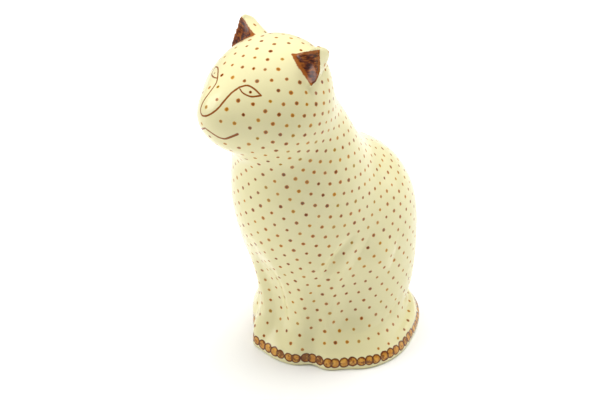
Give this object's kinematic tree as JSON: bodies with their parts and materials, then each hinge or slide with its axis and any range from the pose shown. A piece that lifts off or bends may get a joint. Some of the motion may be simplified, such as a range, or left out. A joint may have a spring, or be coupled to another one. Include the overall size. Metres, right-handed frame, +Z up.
{
  "type": "ceramic cat figurine",
  "caption": "Hollow glazed stoneware cat sitting upright on a lobed plinth, head turned slightly, pricked ears with scooped fronts and a tail laid round one side",
  "frame": {"origin": "centre of the plinth's lobed outline, on the plane of its underside", "axes": "+Z up, the cat faces -Y and its left side is +X"},
  "size_m": [0.0951, 0.1317, 0.1792],
  "materials": {
    "glaze": "glossy cream glaze with small brown stamped dots",
    "ear_panel": "glossy brown brushwork on cream",
    "foot": "glossy cream band with a bare clay underside"
  },
  "bodies": {
    "root": {"trunk": "glaze", "head": "glaze", "ear_left": "ear_panel", "ear_right": "ear_panel", "tail": "glaze", "plinth": "foot"}
  },
  "joints": []
}
